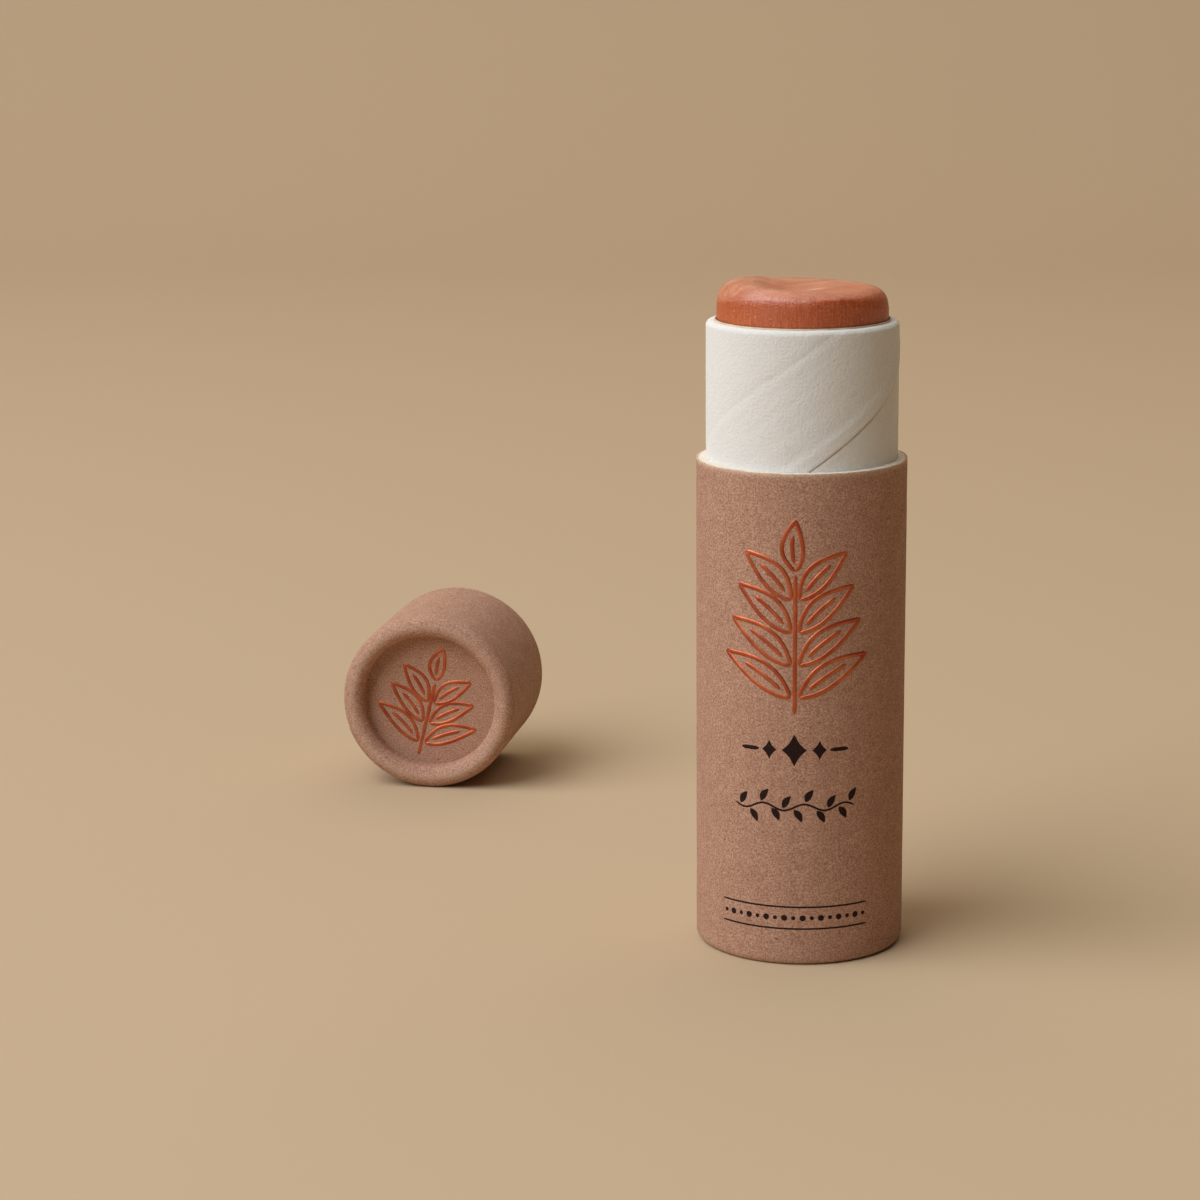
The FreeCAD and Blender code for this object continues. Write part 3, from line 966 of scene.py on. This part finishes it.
def cap_wrap():
    """Kraft wrap of the cap with a lap seam, rolled in over its rim, where the paper has pleats."""
    bend = OUTER_R - CURL_R
    inner_bend = bend - WRAP
    leg = CURL_R - bend
    edge = 0.05
    rim = CAP_LENGTH - bend
    profile = arc(OUTER_R - edge, edge, edge, -90, 0, 4)
    profile += wall(OUTER_R, edge, rim, 0.35)
    profile += arc(CURL_R, rim, bend, 0, 180, 26)
    profile += wall(leg, rim, CAP_END, 0.12)
    profile += [(leg, CAP_END)]
    outside_to = len(profile)
    profile += [(leg + WRAP, CAP_END)]
    profile += arc(CURL_R, rim, inner_bend, 180, 0, 14)
    profile += [(OUTER_R - WRAP, 8.0), (OUTER_R - WRAP, 0.0)]
    columns = even_columns(300)
    radius, height, angle = swept(profile, columns)
    outside = np.zeros((len(profile), 1))
    outside[:outside_to] = 1.0
    lap = 0.05 * (1 - smooth_step(0.0, 0.5, np.mod(angle - CAP_LAP, TURN)))
    relief = paper_relief(angle, height, 51) + lap
    inward = smooth_step(OUTER_R - 0.6, leg, radius)
    pleat = 0.03 * np.abs(np.sin(32 * angle + 1.3 * np.sin(3 * angle))) ** 2
    turns = turn_share(angle)
    uneven = 0.05 * lattice_noise(turns * 9, height * 0 + 6, 9, 52)
    radius += outside * (1 - inward) * relief + outside * inward * (pleat - 0.02)
    height += outside * smooth_step(rim, CAP_LENGTH, height) * (uneven - 0.05)
    piece = ring_piece("cap_paper", radius, height, angle, kraft, "cap", CAP_PLACE)
    wear = 0.5 * wear_near(height, 0.0, 0.35) + 0.3 * wear_near(height, CAP_LENGTH, 0.25)
    mark(piece, "wear", wear)
    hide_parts("cap_wrap")


CAP_PRINT_TURN = math.radians(-14)


def cap_end():
    """Printed paper cup of the recessed end: a stamped disc with a skirt up into the rolled rim."""
    skirt_top = CAP_LENGTH - (OUTER_R - CURL_R)
    skirt_in = CAP_PLUG_R - FACING
    foot = CAP_END - FACING
    profile = [(3.0, foot), (CAP_PLUG_R, foot), (CAP_PLUG_R, skirt_top), (skirt_in, skirt_top)]
    profile += [(skirt_in, CAP_END + 0.1), (skirt_in - 0.1, CAP_END)]
    profile += [(r, CAP_END) for r in spaced(skirt_in - 0.1, 0.3, 0.3)[1:]]
    columns = even_columns(180)
    radius, height, angle = swept(profile, columns)
    across = radius * np.sin(angle)
    along = radius * np.cos(angle)
    waved = lattice_noise(across / 1.5 + 40, along / 1.5 + 40, 90, 53)
    height += (radius < skirt_in - 0.5) * (height > CAP_END - 0.01) * 0.012 * waved
    points = ring_points(radius, height, angle)
    faces = ring_faces(len(profile), len(columns), False)
    points, faces = capped(points, faces, len(profile), len(columns), foot, CAP_END)
    piece = new_piece("cap_end_paper", points, faces, kraft_flat, "cap", CAP_PLACE)
    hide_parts("cap_end_facing")

    c = math.cos(CAP_PRINT_TURN)
    s = math.sin(CAP_PRINT_TURN)

    def place(flat, lift):
        px = c * flat[:, 0] - s * flat[:, 1]
        py = s * flat[:, 0] + c * flat[:, 1]
        return np.stack([px, py, CAP_END + lift], axis=-1)

    strokes = sprig(foot=-7.0, top=2.0, pairs=3, length=6.5, width=1.0)
    points, faces = foil_solid(strokes, 0.15, place)
    new_piece("cap_foil", points, faces, foil, "cap", CAP_PLACE)


def cap_board():
    """Board of the cap: a cut edge at its mouth, a bore with a shoulder, and the roll under the wrap."""
    outer = OUTER_R - WRAP - GLUE
    bend = outer - CURL_R
    leg = CURL_R - bend
    inner_bend = CAP_SEAT_R - CURL_R
    rim = CAP_LENGTH - (OUTER_R - CURL_R)
    edge = 0.08
    profile = arc(outer - edge, edge, edge, -90, 0, 4)
    profile += wall(outer, edge, rim, 6.0)
    profile += arc(CURL_R, rim, bend, 0, 180, 16)
    profile += [(leg, CAP_END), (CURL_R - inner_bend, CAP_END)]
    profile += arc(CURL_R, rim, inner_bend, 180, 0, 10)
    profile += [(CAP_SEAT_R, CAP_SHOULDER), (CAP_BORE_R, CAP_SHOULDER)]
    profile += wall(CAP_BORE_R, CAP_SHOULDER, edge, 0.5)
    profile += arc(CAP_BORE_R + edge, edge, edge, 180, 270, 4)
    profile += [(r, 0.0) for r in spaced(CAP_BORE_R + edge, outer - edge, 0.1)[1:-1]]
    columns = even_columns(300)
    radius, height, angle = swept(profile, columns)
    turns = turn_share(angle)
    cut = 0.02 * lattice_noise(turns * 170, radius * 6, 170, 61) + 0.012
    height += (height < 0.001) * cut
    bore = np.abs(radius - CAP_BORE_R) < 0.001
    radius += bore * 0.012 * (1 + lattice_noise(turns * 60, height / 1.2, 60, 62))
    piece = ring_piece("cap_board_tube", radius, height, angle, board, "cap", CAP_PLACE)
    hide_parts("cap_tube")


# Print on the front


def leaf_blot(base, lean, length, width):
    """Outline of one filled leaf."""
    strokes = leaf_strokes(base, lean, length, width)
    near = strokes[1][::4]
    far = strokes[0][::-1][::4]
    return np.vstack([near, far[1:-1]])


def lozenge(middle, across, up):
    """Outline of a lozenge with slightly hollow sides."""
    corners = np.array([[across, 0.0], [0.0, up], [-across, 0.0], [0.0, -up], [across, 0.0]])
    outline = []
    for a, b in zip(corners[:-1], corners[1:]):
        for t in np.linspace(0.0, 1.0, 7)[:-1]:
            point = a + (b - a) * t
            outline.append(point * (1 - 0.16 * math.sin(math.pi * t)) + np.array(middle))
    return outline


def dot(middle, size):
    """Outline of a round dot."""
    turn = np.arange(20) * TURN / 20
    return np.stack([middle[0] + size * np.cos(turn), middle[1] + size * np.sin(turn)], 1)


def rule(start, end, level):
    """A straight level stroke."""
    u = spaced(start, end, 0.2)
    return np.stack([u, np.full(len(u), level)], 1)


def vine_level(u):
    """Height of the wavy vine over its middle line."""
    return 0.32 * np.sin(u * TURN / 4.0)


def front_print():
    """Raised foil sprig, and three small ornaments in brown ink under it."""
    place = on_label(FOIL_HEIGHT)
    strokes = sprig(foot=-9.2, top=4.4, pairs=4, length=8.0, width=1.12)
    points, faces = foil_solid(strokes, 0.12, place)
    new_piece("front_foil", points, faces, foil, "tube")

    place = on_label(LOZENGE_HEIGHT)
    solids = [blot_solid(lozenge((0.0, 0.0), 1.2, 1.6), place)]
    for side in (-1, 1):
        solids.append(blot_solid(lozenge((2.45 * side, 0.0), 0.72, 0.95), place))
        stroke = rule(3.5 * side, 5.35 * side, 0.0)
        solids.append(stroke_solid(stroke, 0.2, INK_RISE, place))

    place = on_label(VINE_HEIGHT)
    u = np.linspace(-6.1, 6.1, 120)
    vine = np.stack([u, vine_level(u)], 1)
    solids.append(stroke_solid(vine, 0.1, INK_RISE, place))
    for k in range(-5, 6):
        up = 1 if k % 2 else -1
        base = (1.1 * k, vine_level(1.1 * k) + 0.22 * up)
        solids.append(blot_solid(leaf_blot(base, math.radians(58 * up), 1.5, 0.34), place))

    place = on_label(BAND_HEIGHT)
    for level in (-1.1, 1.1):
        solids.append(stroke_solid(rule(-7.7, 7.7, level), 0.09, INK_RISE, place))
    for k in range(-8, 9):
        size = 0.3 if k % 2 else 0.2
        solids.append(blot_solid(dot((0.9 * k, 0.0), size), place))
    points, faces = joined(solids)
    new_piece("front_ink", points, faces, ink, "tube")


def dress(node, material):
    """Gives a CAD node that stays its material."""
    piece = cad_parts[node]
    if piece.material_slots:
        piece.material_slots[0].material = material
    else:
        piece.data.materials.append(material)


def inner_pieces():
    """CAD nodes whose shape is right, with better materials."""
    for node in ("push_disc", "cap_end_board"):
        dress(node, board)
    for node in ("neck_liner", "push_liner", "cap_end_liner"):
        dress(node, liner)
    dress("push_cup", card)


# Floor, light and camera


def stage():
    """A pale floor that curves up into a backdrop."""
    half = 4.0
    front = -4.0
    wall_at = 0.95
    bend = 0.35
    rows = [(front, 0.0)]
    rows += [(y, 0.0) for y in np.linspace(front, wall_at - bend, 12)[1:]]
    for turn in np.radians(np.linspace(-90, 0, 16))[1:]:
        rows.append((wall_at - bend + bend * math.cos(turn), bend + bend * math.sin(turn)))
    rows.append((wall_at, 1.8))
    points = []
    for y, z in rows:
        points += [(-half, y, z), (half, y, z)]
    faces = [(2 * i, 2 * i + 1, 2 * i + 3, 2 * i + 2) for i in range(len(rows) - 1)]
    mesh = bpy.data.meshes.new("floor")
    mesh.from_pydata(points, [], faces)
    mesh.polygons.foreach_set("use_smooth", [True] * len(mesh.polygons))
    mesh.materials.append(plain_floor("floor", FLOOR_COLOUR))
    floor = bpy.data.objects.new("floor", mesh)
    bpy.context.scene.collection.objects.link(floor)


def area_light(name, azimuth, elevation, distance, size, power, colour):
    """A square lamp that faces the object. Azimuth 0 is the camera's side, and -90 its left."""
    lamp = bpy.data.lights.new(name, "AREA")
    lamp.shape = "SQUARE"
    lamp.size = size
    lamp.energy = power
    lamp.color = colour
    a = math.radians(azimuth)
    e = math.radians(elevation)
    way = np.array([math.sin(a) * math.cos(e), -math.cos(a) * math.cos(e), math.sin(e)])
    side = np.array([math.cos(a), math.sin(a), 0.0])
    up = np.cross(way, side)
    aim = np.array([0.0, 0.0, 0.035])
    at = aim + distance * way
    light = bpy.data.objects.new(name, lamp)
    light.matrix_world = placed(side, up, way, at)
    bpy.context.scene.collection.objects.link(light)


def lights():
    """A large soft lamp on the left, a weaker one behind and above, and dim warm surroundings."""
    cool = (0.95, 1.0, 1.06)
    warm = (1.0, 0.92, 0.8)
    area_light("key", azimuth=-60, elevation=47, distance=1.2, size=1.15, power=17.2, colour=cool)
    area_light("back", azimuth=172, elevation=66, distance=1.1, size=1.3, power=4.5, colour=warm)
    world = bpy.data.worlds.new("surroundings")
    world.use_nodes = True
    background = world.node_tree.nodes["Background"]
    background.inputs["Color"].default_value = (1.0, 0.75, 0.51, 1.0)
    background.inputs["Strength"].default_value = 0.055
    bpy.context.scene.world = world


def camera():
    """The photograph's view."""
    yaw = math.radians(-3.7352)
    pitch = math.radians(12.3514)
    roll = math.radians(-0.4449)
    flat = math.cos(pitch)
    ahead = np.array([math.sin(yaw) * flat, math.cos(yaw) * flat, -math.sin(pitch)])
    level = np.array([math.cos(yaw), -math.sin(yaw), 0.0])
    above = np.cross(level, ahead)
    side = math.cos(roll) * level + math.sin(roll) * above
    up = math.cos(roll) * above - math.sin(roll) * level
    at = np.array([0.0, -302.95, 100.60]) * MM
    data = bpy.data.cameras.new("camera")
    data.sensor_fit = "HORIZONTAL"
    data.sensor_width = 36.0
    data.lens = 94.47
    data.clip_start = 0.01
    data.clip_end = 20.0
    eye = bpy.data.objects.new("camera", data)
    eye.matrix_world = placed(side, up, -ahead, at)
    bpy.context.scene.collection.objects.link(eye)
    bpy.context.scene.camera = eye


outer_wrap()
outer_board()
neck_facing()
neck_plies()
balm_stick()
cap_wrap()
cap_end()
cap_board()
front_print()
inner_pieces()
stage()
lights()
camera()
bpy.context.scene.view_settings.view_transform = "Standard"
